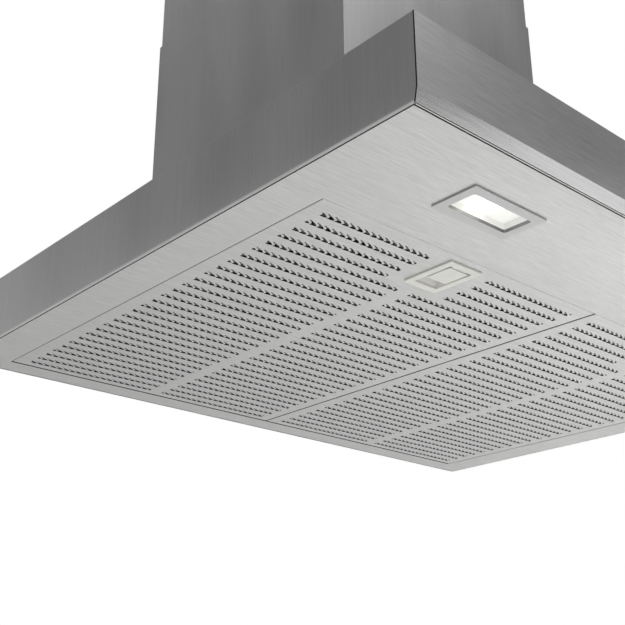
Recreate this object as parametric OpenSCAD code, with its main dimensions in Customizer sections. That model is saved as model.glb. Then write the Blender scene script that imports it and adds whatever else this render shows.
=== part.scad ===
// Wall mount range hood: a flat steel canopy box with two perforated filters,
// two lamps, a centrifugal blower and a telescopic chimney.
// The wall is the plane y = 0, the room is towards -Y, and z = 0 is the underside.

/* [Canopy] */
// Width of the canopy
canopy_w = 600; // [580:10:900]
// Depth of the canopy from the wall to the front face
canopy_d = 500; // [495:5:560]
// Height of the canopy box
canopy_h = 52.4; // [50:0.2:70]
// Thickness of the canopy sheet
sheet_t = 1; // [0.8:0.1:1.2]
// Height of the bevel at the foot of the front face
bevel_h = 8.8; // [6:0.2:12]
// Setback of the bevel's foot from the front face
bevel_in = 1.8; // [1:0.1:3]
// Width of the flat land at the bevel's foot
fold_land = 0.3; // [0.2:0.1:0.5]
// Width of the fold line behind the bevel
groove_w = 0.5; // [0.3:0.1:0.8]
// Depth of the fold line
groove_h = 0.5; // [0.3:0.1:0.6]
// Width of the narrow lip behind the fold line
lip_w = 1.1; // [1:0.1:3]
// Gap at the seams between the sheets
seam = 0.3; // [0.3:0.1:0.6]
// Width of the plain strips beside the filters
side_strip_w = 33.1; // [30:0.1:60]
// Width of the plain strip in front of the filters, which holds the lamps
front_strip_w = 99.6; // [80:0.2:110]
// Width of the rim behind the filters
rear_rim_w = 22; // [20:0.5:30]
// Height of the upturned edges of the underside sheet
flange_h = 14; // [10:1:20]
// Depth of the folded flange along the top of the front sheet
top_flange_d = 15; // [10:1:20]

/* [Filters] */
// Gap between a filter and the side strip
filter_gap = 0.8; // [0.5:0.1:1.2]
// Gap in front of the filters
filter_gap_front = 0.5; // [0.4:0.1:0.8]
// Gap between the two filters
filter_gap_mid = 1.5; // [1:0.1:2]
// Gap behind the filters
filter_gap_rear = 1.4; // [1.2:0.1:2]
// Thickness of the perforated sheet
filter_t = 0.8; // [0.6:0.1:1]
// Height of a filter's folded walls
filter_h = 9; // [8:0.5:10]
// Distance from one row of perforations to the next
row_spacing = 12.44; // [11:0.01:14]
// Open width of a row
row_w = 3.2; // [2:0.1:5]
// Plain margin between a filter's side edge and its rows
row_margin = 11; // [8:0.5:16]
// Distance from a filter's front edge to its first row
row_first = 13.8; // [12:0.1:18]
// Least distance from the last row to a filter's rear edge
row_last = 10; // [8:0.5:16]
// Width of the plain band down the middle of a filter
band_w = 12; // [8:0.5:20]
// Clear width that the short rows leave for the latch
latch_clear_w = 57; // [50:1:70]
// Rows cut short for the latch
latch_rows = 4; // [4:1:5]
// Thickness of the layered aluminium mesh pad
mesh_t = 6; // [4:0.5:6.5]
// Thickness of the retaining frame over the pad
back_t = 1; // [0.8:0.1:1.2]
// Width of the retaining frame's border
back_border = 14; // [8:1:24]
// Width of the retaining frame's cross bars
back_bar = 4; // [3:0.5:8]
// Cross bars from side to side
back_rows = 6; // [4:1:10]
// Cross bars from front to rear
back_columns = 4; // [2:2:8]
// Width of a rear hook
hook_w = 20; // [12:1:30]
// Reach of a rear hook over the rim
hook_l = 10.4; // [6:0.2:11]
// Distance of a rear hook from the filter's middle
hook_x = 90; // [60:5:110]
// Thickness of a rear hook
hook_t = 1.2; // [1:0.1:1.5]

/* [Latches] */
// Width of a latch frame
latch_w = 30.8; // [30:0.1:36]
// Length of a latch frame
latch_l = 42.3; // [42:0.1:46]
// How far the latch frame and the lamp frame stand proud of the sheet
proud = 1.1; // [0.8:0.1:1.4]
// Distance from the filter's front edge to the latch frame
latch_setback = 6.7; // [5:0.1:8]
// Width of the latch window
window_w = 21.3; // [20:0.1:22]
// Length of the latch window
window_l = 31.5; // [30:0.1:32]
// Thickness of the walls round the latch window
latch_wall = 2.2; // [1.8:0.1:2.4]
// Height of the latch frame above the sheet's underside
latch_h = 7.7; // [7:0.1:8.2]
// Gap between the window's front edge and the paddle
pad_in = 1.9; // [1.5:0.1:2.2]
// Width of the paddle
paddle_w = 17.8; // [16:0.1:18]
// Length of the paddle
paddle_l = 19.7; // [18:0.1:20]
// Thickness of the paddle
paddle_t = 1.8; // [1.4:0.1:2]
// Distance of the paddle's pin from the window's front edge
pin_in = 3.3; // [3:0.1:4]
// Height of the paddle's pin above the sheet's underside
pin_z = 1.2; // [1:0.1:1.5]
// Radius of the paddle's pin
pin_r = 1; // [0.8:0.1:1.2]
// Radius of the paddle's knuckle
knuckle_r = 2.2; // [2:0.1:2.3]
// Width of the paddle's knuckle
knuckle_w = 13; // [10:0.5:14]
// Radius of the return spring's coil
spring_r = 1.7; // [1.5:0.1:1.9]
// Width of the hook that holds the filter up
catch_w = 9; // [6:0.5:10]
// Thickness of the hook's stem
catch_stem = 2.6; // [2:0.1:3]
// Reach of the hook's nose over the keeper
catch_nose = 3; // [2:0.1:3.4]
// Thickness of the hook's nose
catch_t = 2; // [1.5:0.1:2.5]
// Width of a keeper
keeper_w = 18; // [14:1:24]
// Thickness of a keeper
keeper_t = 1.5; // [1.2:0.1:1.8]
// Height of the keeper's ledge above the sheet's underside
keeper_z = 9.8; // [9.4:0.1:11]
// Length of the keeper's foot on the front strip
keeper_foot = 10; // [8:1:14]

/* [Lamps] */
// Length of a lamp frame
lamp_w = 64.7; // [60:0.1:80]
// Width of a lamp frame
lamp_l = 33.6; // [30:0.1:40]
// Length of a lamp window
lamp_window_w = 52; // [44:0.5:54]
// Width of a lamp window
lamp_window_l = 20.2; // [16:0.2:22]
// Distance of a lamp's middle from the canopy's side
lamp_side = 117.6; // [80:0.1:160]
// Distance of a lamp's middle behind the front seam
lamp_in = 48.4; // [40:0.1:56]
// Wall of the lamp frame round its window
lamp_wall = 2.8; // [2.2:0.1:3]
// Ledge that the lens rests on
lens_ledge = 1; // [0.8:0.1:1.2]
// Depth of the lens above the sheet's underside
lens_z = 1.3; // [1:0.1:2]
// Thickness of the lens
lens_t = 2; // [1.5:0.1:3]
// Height of the lamp frame's collar
lamp_collar_h = 8; // [7.5:0.5:10]
// Height of the lamp's cap above the collar
lamp_cap_h = 14; // [10:1:20]
// Thickness of the light-source board
led_board_t = 1.6; // [1:0.2:2]
// Radius of the light source
led_r = 8; // [6:0.5:9]
// Thickness of the light source
led_t = 1; // [0.6:0.1:1.5]

/* [Controls] */
// Distance between push buttons
button_spacing = 22; // [18:1:24]
// Radius of a push button
button_r = 6; // [5:0.5:7]
// Height of the push buttons above the underside
button_z = 31; // [28:0.5:32]
// How far a button stands out of the front face
button_out = 2.5; // [2.2:0.1:4]
// Travel of a button
button_travel = 2; // [1.5:0.1:2.2]
// Thickness of a button's retaining flange
button_flange_t = 1; // [0.8:0.1:1.5]
// Extra radius of a button's retaining flange
button_flange_r = 1; // [0.8:0.1:1.5]
// Radius of a button's stem
stem_r = 3; // [2.5:0.1:3.5]
// Length of a button's stem
stem_l = 13; // [10:0.5:16]
// Depth of the control box
control_d = 29; // [28:1:40]
// Height of the control box
control_h = 30; // [26:1:32]
// Wall of the control box
control_wall = 1.5; // [1:0.1:2]
// Margin of the control box beyond the outer buttons
control_margin = 18; // [12:1:30]

/* [Chimney] */
// Outside width of the lower chimney
chimney_w = 260; // [256:1:320]
// Outside depth of the lower chimney
chimney_d = 275; // [272:1:300]
// Height of the lower chimney
chimney_low_h = 330; // [320:5:420]
// Height of the upper chimney's top above the underside, slid down
chimney_top = 635; // [600:5:700]
// Height of the upper chimney's foot above the canopy, slid down
chimney_foot = 22.6; // [20:0.2:40]
// Width of the flanges folded in at the chimney's foot and rear edges
chimney_flange = 10; // [8:0.5:12]
// Height of the wall bracket at the chimney's top
bracket_h = 30; // [20:1:40]
// Depth of the wall bracket's ears
bracket_d = 30; // [20:1:40]
// Thickness of the wall bracket
bracket_t = 2; // [1.5:0.1:2.5]

/* [Blower] */
// Distance of the wheel's axis from the wall
wheel_y = 105; // [104:0.5:108]
// Height of the wheel's axis above the canopy
wheel_z = 97.6; // [96:0.2:104]
// Outside radius of the wheel
wheel_r = 65; // [60:0.5:66]
// Radial depth of the wheel's blades
blade_d = 12; // [9:0.5:13]
// Thickness of the wheel's blades
blade_t = 1; // [0.8:0.1:1.4]
// Number of blades
blade_n = 36; // [24:1:40]
// Width of the wheel
wheel_w = 112; // [100:1:114]
// Thickness of the wheel's rings and disc
wheel_t = 2; // [1.5:0.1:3]
// Smallest radius of the scroll
scroll_r0 = 72; // [70:0.5:74]
// Largest radius of the scroll
scroll_r1 = 98; // [94:0.5:98]
// Inside width of the scroll
scroll_w = 120; // [118:1:124]
// Wall of the scroll
scroll_t = 1.5; // [1:0.1:2]
// Depth of the scroll's outlet neck
neck_d = 80; // [76:1:82]
// Height of the neck's top above the wheel's axis
neck_h = 86; // [84:1:94]
// Radius of the scroll's inlets
inlet_r = 58; // [56:0.5:60]
// Radial width of an inlet ring's flange beyond the inlet
inlet_flange = 10; // [6:0.5:11]
// Length of an inlet ring's lip into the wheel
inlet_lip = 8; // [6:0.5:10]
// Thickness of the inlet rings
inlet_t = 2; // [1.5:0.1:2]
// Running gap between the inlet lip and the wheel
wheel_gap = 2; // [1.5:0.1:3]
// Radius of the motor
motor_r = 36; // [30:0.5:38]
// Length of the motor
motor_l = 62; // [50:1:64]
// Radius of the motor's shaft
shaft_r = 4; // [3:0.5:5]
// Radial running fit of shafts and pins
run_fit = 0.05; // [0.02:0.01:0.09]
// Thickness of the motor's bracket
spider_t = 3; // [2:0.1:4]
// Width of the arms of the motor's bracket
arm_w = 12; // [8:1:16]
// Clearance beside the blower box in the chimney
box_side = 26; // [24:0.5:28]
// Distance of the blower box's front from the wall
box_front = 245; // [244:0.5:250]
// Distance of the blower box's rear from the wall
box_rear = 12; // [11:0.5:13]
// Width of the flanges at the blower box's foot
box_flange = 10; // [9:0.5:12]
// Radius of the duct collar
collar_r = 75; // [60:0.5:76]
// Height of the duct collar
collar_h = 50; // [45:1:60]
// Wall of the duct collar
collar_t = 1.5; // [1:0.1:2]
// Margin of the collar's flange round the collar
collar_flange = 5; // [4:0.5:6]
// Height of the flap's axis above the collar's flange
flap_z = 24; // [22:1:26]
// Thickness of the non-return flaps
flap_t = 1; // [0.8:0.1:1.5]
// Radius of the flaps' pin
flap_pin_r = 1.5; // [1:0.1:2]
// Wall of the flaps' knuckles
flap_wall = 1.4; // [1.2:0.1:2]
// Length of a flap's knuckle
flap_knuckle = 24; // [16:1:28]
// Radial clearance of the flaps in the collar
flap_gap = 1; // [0.8:0.1:1.5]

/* [Fixings] */
// Distance of a wall hole from the canopy's side
hang_side = 90; // [70:5:120]
// Radius of the wall holes
hang_r = 4.5; // [4:0.1:6]
// Height of the wall holes above the underside
hang_z = 32; // [28:1:34]
// Width of a hanger plate
hanger_w = 40; // [30:1:50]
// Reach of a hanger plate under the top sheet
hanger_d = 32; // [26:1:40]
// Thickness of a hanger plate
hanger_t = 2; // [1.5:0.1:3]
// Distance between the screw holes of the chimney bracket
bracket_spacing = 180; // [140:10:200]
// Radius of the screw holes of the chimney bracket
bracket_hole_r = 2.75; // [2:0.05:4]
// Radius of the sheet screws' shanks
screw_r = 2; // [1.5:0.1:2.2]
// Radius of the sheet screws' heads
screw_head_r = 4; // [3:0.1:4.5]
// Height of the sheet screws' heads
screw_head_h = 2.4; // [2:0.1:3]
// Length of the sheet screws' shanks
screw_l = 6; // [5:0.5:10]
// Radius of the bore for the supply cord
gland_r = 4; // [3:0.5:4.5]
// Wall of the cord gland
gland_wall = 2; // [1.5:0.1:2.5]
// Height of the cord gland's collar above the top sheet
gland_h = 10; // [6:1:16]

/* [Hidden] */
// Number of push buttons, each with a node of its own
button_n = 5;
// Overrun of cuts past the face that they open
cut = 0.5;
// Facets of the drawn circles
$fn = 64;
// Small gap between pieces that are set into each other
fit = 0.2;
// Gap that lets a piece move past its neighbour
slack = 0.3;
// Distance from the front face to the edge of the underside sheet
lip_d = bevel_in + fold_land + groove_w + lip_w + seam;
open_x = canopy_w / 2 - side_strip_w;
open_rear = -rear_rim_w;
inner_x = canopy_w / 2 - sheet_t - seam;
top_z = canopy_h - sheet_t;
face_y = -canopy_d + sheet_t;
low_inner_x = chimney_w / 2 - sheet_t;
box_x = chimney_w / 2 - box_side;
lamp_x = canopy_w / 2 - lamp_side;
hang_x = canopy_w / 2 - hang_side;
up_y = chimney_d - sheet_t - seam;
neck_y = -(wheel_y + scroll_r1 - neck_d / 2);
axis_z = canopy_h + wheel_z;
flap_r = collar_r - collar_t - flap_gap;
knuckle_out = flap_pin_r + run_fit + flap_wall;
bevel_foot_y = -canopy_d + bevel_in;
rear_edge_y = -sheet_t - seam;
lamp_collar_w = lamp_window_w + 2 * lamp_wall;
lamp_collar_l = lamp_window_l + 2 * lamp_wall;
// Corner radius of the latch and lamp frames
frame_corner_r = 1;
// Corner radius of the lamp windows and of what lies in them
window_corner_r = 1.5;
// Half the width of the latch frame's cheeks over all
collar_x = window_w / 2 + latch_wall;
// Thickness of the finger scoop's roof
scoop_roof = 1.5;
// Length of the finger scoop's roof
scoop_l = 13.8;
// Length of the scoop's ramp
ramp_l = 6.2;
// Height at which the ramp starts at the window's rear edge
ramp_z = 1;
// Distance of the keeper's ledge past the pin's axis
ledge_past = 2.4;
// Gap between the ledge and the hook's stem
ledge_gap = 0.5;
// Wall of the lamp caps and of the terminal box
cap_wall = 2;
// Thickness of the switch board
board_t = 1.6;
// Height of a switch
switch_h = 4;
// Margin of the canopy's opening inside the blower box
box_ledge = 6;
// Steps of the scroll's outline
scroll_steps = 36;
// Place of the wheel's disc along the axis
disc_x = 10;
// Radius of the wheel's hub
hub_r = 11;
// Length of the wheel's hub
hub_l = 10;
// Gap between the scroll's side and the motor's bracket
spider_gap = 4.5;
// Clearance between an inlet ring and the bracket's ring
spider_clear = 1.5;
// Length of the motor's bearing boss
motor_boss_l = 3;
// Length of the shaft inside the motor
shaft_in = 10;
// Radius of the capacitor
capacitor_r = 14;
// Height of the capacitor
capacitor_h = 60;
// Width of the ledge in the collar
ledge_w = 3;
// Thickness of the ledge in the collar
ledge_t = 2;
// Length of the pin bosses in the collar
pin_boss_l = 2.6;
rear_knuckles = [[-flap_knuckle, flap_knuckle]];
// Distance of the bracket's middle below the chimney's top
bracket_drop = 20;
// Place of the sheet screws across the blower box
screw_share = 0.75;
// Offset of the levelling screws beside the wall holes
level_x = 13;
// Place of the levelling screws along the angle plates
level_share = 0.7;
// Radius of the levelling screws
level_r = 3;
// Radius of the levelling screws' heads
level_head_r = 5;
// Length of the levelling screws
level_l = 24;
// Length of the gland below the top sheet
gland_tail = 6;
// Width of the gland's flange
gland_flange = 2.5;
// Height of the terminal box
terminal_h = 26;
// Half the depth of the terminal box
terminal_r = 24;
// Width of the terminal box
terminal_w = 60;
seam_y = -canopy_d + lip_d;
open_front = seam_y + front_strip_w;
filter_front = open_front + filter_gap_front;
filter_rear = open_rear - filter_gap_rear;
filter_w = open_x - filter_gap - filter_gap_mid / 2;
filter_x = (filter_gap_mid + filter_w) / 2;
filter_d = filter_rear - filter_front;
row_n = floor((filter_d - row_first - row_last) / row_spacing) + 1;
window_front = filter_front + latch_setback + (latch_l - window_l) / 2;
window_rear = window_front + window_l;
pin_y = window_front + pin_in;
scoop_z = latch_h - scoop_roof;
pad_front = window_front + pad_in;
lamp_y = seam_y + lamp_in;
lens_w = lamp_window_w + 2 * lens_ledge - 2 * fit;
lens_l = lamp_window_l + 2 * lens_ledge - 2 * fit;
control_w = (button_n - 1) * button_spacing + 2 * control_margin;
up_x = low_inner_x - seam;
box_top = axis_z + neck_h;
flap_axis_z = box_top + sheet_t + collar_t + flap_z;
// Outline of the mesh pad inside the filter's walls
pad_x = filter_w / 2 - filter_t - fit;
pad_y0 = filter_front + filter_t + fit;
pad_y1 = filter_rear - filter_t - fit;
back_z = filter_t + mesh_t + 2 * fit;
stem_y = pin_y + ledge_past + ledge_gap;
nose_z = keeper_z + keeper_t + slack;
board_y = face_y + fit + button_flange_t + stem_l + button_travel + slack + switch_h;
spider_r = inlet_r + inlet_flange + arm_w / 2 + spider_clear;
motor_end = -(scroll_w / 2 + scroll_t + spider_gap) + motor_l;
front_knuckles = [[-2 * flap_knuckle, -flap_knuckle - slack], [flap_knuckle + slack, 2 * flap_knuckle]];
bracket_z = chimney_top - bracket_drop;
gland_x = (box_x + up_x - sheet_t) / 2;
// Distance of the cord gland from the wall, so that the terminal box clears the angle plates
gland_in = sheet_t + hanger_d + slack + terminal_r;
gland_out = gland_r + gland_wall + gland_flange;
// Place of a button across the front
function button_x(i) = (i - (button_n + 1) / 2) * button_spacing;

// Box between low and high values along each axis
module slab(x, y, z) {
  translate([x[0], y[0], z[0]])
    cube([x[1] - x[0], y[1] - y[0], z[1] - z[0]]);
}

// Flat outline with round corners, centred on the origin
module round_rect(w, l, r) {
  square([w - 2 * r, l], center = true);
  square([w, l - 2 * r], center = true);
  for (sx = [-1, 1], sy = [-1, 1])
    translate([sx * (w / 2 - r), sy * (l / 2 - r)])
      circle(r);
}

// Outline in the y, z plane, carried along x
module along_x(x) {
  translate([x[0], 0, 0])
    rotate([90, 0, 90])
      linear_extrude(x[1] - x[0])
        children();
}

// Cylinder along x, between two x values
module rod_x(r, x, y, z) {
  translate([x[0], y, z])
    rotate([0, 90, 0])
      cylinder(r = r, h = x[1] - x[0]);
}

// Cylinder along y, between two y values
module rod_y(r, y, x, z) {
  translate([x, y[0], z])
    rotate([-90, 0, 0])
      cylinder(r = r, h = y[1] - y[0]);
}

// Draws a piece of the right half, or its mirror image for the left half
module on_side(side) {
  mirror([side < 0 ? 1 : 0, 0, 0])
    children();
}

// Draws a piece on both sides of the middle
module both_sides() {
  on_side(1) children();
  on_side(-1) children();
}

// Top sheet of the canopy, open under the blower box
module canopy_top() {
  color("gainsboro")
    difference() {
      slab([-canopy_w / 2, canopy_w / 2], [face_y, 0], [top_z, canopy_h]);
      slab([-box_x + box_ledge, box_x - box_ledge], [-box_front + box_ledge, -box_rear - box_ledge],
        [top_z - cut, canopy_h + cut]);
      sheet_screw_holes();
      translate([gland_x, -gland_in, top_z - cut])
        cylinder(r = gland_r + gland_wall + fit, h = sheet_t + 2 * cut);
    }
}

// Side of the canopy, welded to the top and to the front
module canopy_side(side) {
  color("gainsboro")
    on_side(side)
      along_x([canopy_w / 2 - sheet_t, canopy_w / 2])
        polygon([[face_y, top_z], [face_y, bevel_h], [bevel_foot_y + sheet_t, 0], [0, 0], [0, top_z]]);
}

// Front sheet with a bevelled foot, a fold line and a narrow lip, drilled for the buttons
module front_panel() {
  color("silver")
    difference() {
      union() {
        along_x([-canopy_w / 2, canopy_w / 2])
          polygon([[-canopy_d, canopy_h], [-canopy_d, bevel_h], [bevel_foot_y, 0],
            [bevel_foot_y + sheet_t, 0], [face_y, bevel_h], [face_y, canopy_h]]);
        slab([-inner_x, inner_x], [bevel_foot_y, seam_y - seam], [0, sheet_t]);
        slab([-inner_x, inner_x], [face_y, -canopy_d + top_flange_d], [top_z - sheet_t, top_z]);
      }
      slab([-canopy_w / 2 - cut, canopy_w / 2 + cut],
        [bevel_foot_y + fold_land, bevel_foot_y + fold_land + groove_w], [-cut, groove_h]);
      for (i = [1:button_n])
        rod_y(button_r + fit, [-canopy_d - cut, face_y + cut], button_x(i), button_z);
    }
}

// Underside sheet: plain strips round the filters, with upturned edges and the lamp cut-outs
module underside_frame() {
  color("lightgray")
    difference() {
      union() {
        slab([-inner_x, inner_x], [seam_y, rear_edge_y], [0, sheet_t]);
        slab([-inner_x, inner_x], [rear_edge_y - sheet_t, rear_edge_y], [0, flange_h]);
        both_sides() {
          slab([inner_x - sheet_t, inner_x], [seam_y, rear_edge_y], [0, flange_h]);
          slab([open_x, open_x + sheet_t], [open_front, open_rear], [0, flange_h]);
        }
      }
      slab([-open_x, open_x], [open_front, open_rear], [-cut, sheet_t + cut]);
      both_sides()
        translate([lamp_x, lamp_y, -cut])
          linear_extrude(sheet_t + 2 * cut)
            round_rect(lamp_collar_w + 2 * fit, lamp_collar_l + 2 * fit, frame_corner_r);
    }
}

// Rear sheet against the wall, with the two holes that the hood hangs by
module rear_panel() {
  color("lightgray")
    difference() {
      slab([-inner_x, inner_x], [-sheet_t, 0], [0, top_z]);
      both_sides()
        rod_y(hang_r, [-sheet_t - cut, cut], hang_x, hang_z);
    }
}

// Perforated filter sheet with folded walls and two rear hooks that lie on the rim
module filter_face(side) {
  color("lightgray")
    on_side(side)
      translate([filter_x, 0, 0])
        difference() {
          union() {
            slab([-filter_w / 2, filter_w / 2], [filter_front, filter_rear], [0, filter_h]);
            for (x = [-hook_x, hook_x])
              slab([x - hook_w / 2, x + hook_w / 2], [filter_rear - filter_t, filter_rear + hook_l],
                [sheet_t + seam, sheet_t + seam + hook_t]);
          }
          slab([-filter_w / 2 + filter_t, filter_w / 2 - filter_t],
            [filter_front + filter_t, filter_rear - filter_t], [filter_t, filter_h + cut]);
          slab([-collar_x - fit, collar_x + fit], [window_front - fit, window_rear + latch_wall + fit],
            [-cut, filter_t + cut]);
          for (i = [0:row_n - 1], turn = [-1, 1])
            filter_row(filter_front + row_first + i * row_spacing, turn,
              i < latch_rows ? latch_clear_w / 2 : band_w / 2);
        }
}

// One row of perforations on one half of a filter, cut as a single slot
module filter_row(y, turn, start) {
  on_side(turn)
    slab([start, filter_w / 2 - row_margin], [y - row_w / 2, y + row_w / 2], [-cut, filter_t + cut]);
}

// Space that the pad and its frame leave free round the latch
module latch_space(z) {
  slab([-collar_x - slack, collar_x + slack],
    [filter_front, window_rear + latch_wall + slack], [z - cut, filter_h + cut]);
}

// Pad of layered aluminium mesh that lies in the filter
module filter_mesh(side) {
  color("darkgray")
    on_side(side)
      translate([filter_x, 0, 0])
        difference() {
          slab([-pad_x, pad_x], [pad_y0, pad_y1], [filter_t + fit, filter_t + fit + mesh_t]);
          latch_space(filter_t);
        }
}

// Flat frame with cross bars that keeps the mesh pad in the filter
module filter_back(side) {
  color("gray")
    on_side(side)
      translate([filter_x, 0, back_z])
        linear_extrude(back_t)
          difference() {
            union() {
              difference() {
                translate([-pad_x, pad_y0]) square([2 * pad_x, pad_y1 - pad_y0]);
                translate([-pad_x + back_border, pad_y0 + back_border])
                  square([2 * (pad_x - back_border), pad_y1 - pad_y0 - 2 * back_border]);
              }
              for (i = [1:back_columns])
                translate([-pad_x + 2 * pad_x * i / (back_columns + 1) - back_bar / 2, pad_y0])
                  square([back_bar, pad_y1 - pad_y0]);
              for (i = [1:back_rows])
                translate([-pad_x, pad_y0 + (pad_y1 - pad_y0) * i / (back_rows + 1) - back_bar / 2])
                  square([2 * pad_x, back_bar]);
            }
            translate([-collar_x - slack, filter_front])
              square([2 * (collar_x + slack), window_rear + latch_wall + slack - filter_front]);
          }
}

// Plastic latch frame: a flange below the sheet, two cheeks and a finger scoop at the rear
module latch_frame(side) {
  color("gainsboro")
    on_side(side)
      translate([filter_x, 0, 0])
        difference() {
          union() {
            translate([0, (window_front + window_rear) / 2, -proud])
              linear_extrude(proud)
                difference() {
                  round_rect(latch_w, latch_l, frame_corner_r);
                  square([window_w, window_l], center = true);
                }
            both_sides()
              slab([window_w / 2, collar_x], [window_front, window_rear + latch_wall], [0, latch_h]);
            along_x([-window_w / 2, window_w / 2])
              polygon([[window_rear, 0], [window_rear + latch_wall, 0], [window_rear + latch_wall, latch_h],
                [window_rear - scoop_l, latch_h], [window_rear - scoop_l, scoop_z],
                [window_rear - ramp_l, scoop_z], [window_rear, ramp_z]]);
          }
          rod_x(pin_r + run_fit, [-collar_x - cut, collar_x + cut], pin_y, pin_z);
        }
}

// Paddle that is pulled down at its rear edge, with the hook that holds the filter up
module latch_paddle(side) {
  color("whitesmoke")
    on_side(side)
      translate([filter_x, 0, 0])
        difference() {
          union() {
            slab([-paddle_w / 2, paddle_w / 2], [pad_front, pad_front + paddle_l],
              [-proud, paddle_t - proud]);
            rod_x(knuckle_r, [-knuckle_w / 2, knuckle_w / 2], pin_y, pin_z);
            slab([-catch_w / 2, catch_w / 2], [stem_y, stem_y + catch_stem], [-proud, nose_z + catch_t]);
            slab([-catch_w / 2, catch_w / 2], [stem_y - ledge_gap - catch_nose, stem_y + catch_stem],
              [nose_z, nose_z + catch_t]);
          }
          rod_x(pin_r + run_fit, [-knuckle_w / 2 - cut, knuckle_w / 2 + cut], pin_y, pin_z);
          both_sides()
            rod_x(spring_r + slack, [knuckle_w / 2, paddle_w / 2 + cut], pin_y, pin_z);
        }
}

// Steel pin that the paddle turns on
module latch_pin(side) {
  color("dimgray")
    on_side(side)
      rod_x(pin_r, [filter_x - collar_x, filter_x + collar_x], pin_y, pin_z);
}

// Return spring on the pin, beside the paddle's knuckle
module latch_spring(side) {
  color("gray")
    on_side(side)
      difference() {
        rod_x(spring_r, [filter_x + knuckle_w / 2 + slack, filter_x + window_w / 2 - slack], pin_y, pin_z);
        rod_x(pin_r + fit / 2, [filter_x, filter_x + collar_x], pin_y, pin_z);
      }
}

// Brackets on the front strip whose ledges the latch hooks lie on
module latch_keepers() {
  color("gray")
    both_sides()
      translate([filter_x, 0, 0]) {
        slab([-keeper_w / 2, keeper_w / 2], [open_front - keeper_foot, open_front],
          [sheet_t, sheet_t + keeper_t]);
        slab([-keeper_w / 2, keeper_w / 2], [open_front - keeper_t, open_front],
          [sheet_t, keeper_z + keeper_t]);
        slab([-keeper_w / 2, keeper_w / 2], [open_front - keeper_t, pin_y + ledge_past],
          [keeper_z, keeper_z + keeper_t]);
      }
}

// Lamp frame: a flat flange below the sheet and a collar that holds the lens and the board
module lamp_bezel(side) {
  color("silver")
    on_side(side)
      translate([lamp_x, lamp_y, 0])
        difference() {
          union() {
            translate([0, 0, -proud])
              linear_extrude(proud)
                round_rect(lamp_w, lamp_l, frame_corner_r);
            linear_extrude(lamp_collar_h)
              round_rect(lamp_collar_w, lamp_collar_l, frame_corner_r);
          }
          translate([0, 0, -proud - cut])
            linear_extrude(lamp_collar_h + proud + 2 * cut)
              round_rect(lamp_window_w, lamp_window_l, window_corner_r);
          translate([0, 0, lens_z])
            linear_extrude(lamp_collar_h)
              round_rect(lens_w + 2 * fit, lens_l + 2 * fit, window_corner_r);
        }
}

// Frosted lamp lens
module lamp_lens(side) {
  color("white")
    on_side(side)
      translate([lamp_x, lamp_y, lens_z])
        linear_extrude(lens_t)
          round_rect(lens_w, lens_l, window_corner_r);
}

// Round light source on its board
module lamp_led(side) {
  color("lightyellow")
    on_side(side)
      translate([lamp_x, lamp_y, lamp_collar_h - led_board_t]) {
        linear_extrude(led_board_t)
          round_rect(lens_w, lens_l, window_corner_r);
        translate([0, 0, -led_t])
          cylinder(r = led_r, h = led_t + fit);
      }
}

// Cap that closes the lamp above the board
module lamp_cap(side) {
  color("white")
    on_side(side)
      translate([lamp_x, lamp_y, lamp_collar_h])
        difference() {
          linear_extrude(lamp_cap_h)
            round_rect(lamp_collar_w, lamp_collar_l, frame_corner_r);
          translate([0, 0, -cut])
            linear_extrude(lamp_cap_h - cap_wall + cut)
              round_rect(lens_w - 2 * cap_wall, lens_l - 2 * cap_wall, window_corner_r);
        }
}

// Plastic box behind the front sheet that guides the buttons
module control_box() {
  color("darkslategray")
    difference() {
      slab([-control_w / 2, control_w / 2], [face_y, face_y + control_d],
        [button_z - control_h / 2, button_z + control_h / 2]);
      slab([-control_w / 2 + control_wall, control_w / 2 - control_wall],
        [face_y - cut, face_y + control_d - control_wall],
        [button_z - control_h / 2 + control_wall, button_z + control_h / 2 - control_wall]);
    }
}

// Switch board with one switch behind each button
module control_board() {
  color("seagreen") {
    slab([-control_w / 2 + control_wall + fit, control_w / 2 - control_wall - fit],
      [board_y, board_y + board_t],
      [button_z - control_h / 2 + control_wall + fit, button_z + control_h / 2 - control_wall - fit]);
    for (i = [1:button_n])
      rod_y(stem_r, [board_y - switch_h, board_y + fit], button_x(i), button_z);
  }
}

// Round push button with its retaining flange and stem
module button(i) {
  color("darkgray") {
    rod_y(button_r, [-canopy_d - button_out, face_y + fit], button_x(i), button_z);
    rod_y(button_r + button_flange_r, [face_y + fit, face_y + fit + button_flange_t], button_x(i), button_z);
    rod_y(stem_r, [face_y + fit, face_y + fit + button_flange_t + stem_l], button_x(i), button_z);
  }
}

// Sheet box over the canopy's opening, which the blower hangs in
module blower_box() {
  color("slategray")
    difference() {
      union() {
        slab([-box_x, box_x], [-box_front, -box_rear], [canopy_h, box_top + sheet_t]);
        slab([-box_x, box_x], [-box_front - box_flange, -box_rear + box_flange],
          [canopy_h, canopy_h + sheet_t]);
      }
      slab([-box_x + sheet_t, box_x - sheet_t], [-box_front + sheet_t, -box_rear - sheet_t],
        [canopy_h - cut, box_top]);
      slab([-scroll_w / 2, scroll_w / 2], [neck_y - neck_d / 2, neck_y + neck_d / 2],
        [box_top - cut, box_top + sheet_t + cut]);
      sheet_screw_holes();
    }
}

// Outline of the scroll and its neck, grown by the wall for the outside
module scroll_outline(grow, over) {
  start = acos((scroll_r1 - neck_d) / scroll_r0);
  turn = 360 - start;
  translate([-wheel_y, axis_z])
    mirror([1, 0]) {
      polygon([for (k = [0:scroll_steps])
        let (a = start + turn * k / scroll_steps,
          r = scroll_r0 + (scroll_r1 - scroll_r0) * k / scroll_steps + grow)
        [r * cos(a), r * sin(a)]]);
      translate([scroll_r1 - neck_d - grow, 0])
        square([neck_d + 2 * grow, neck_h + over]);
    }
}

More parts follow.
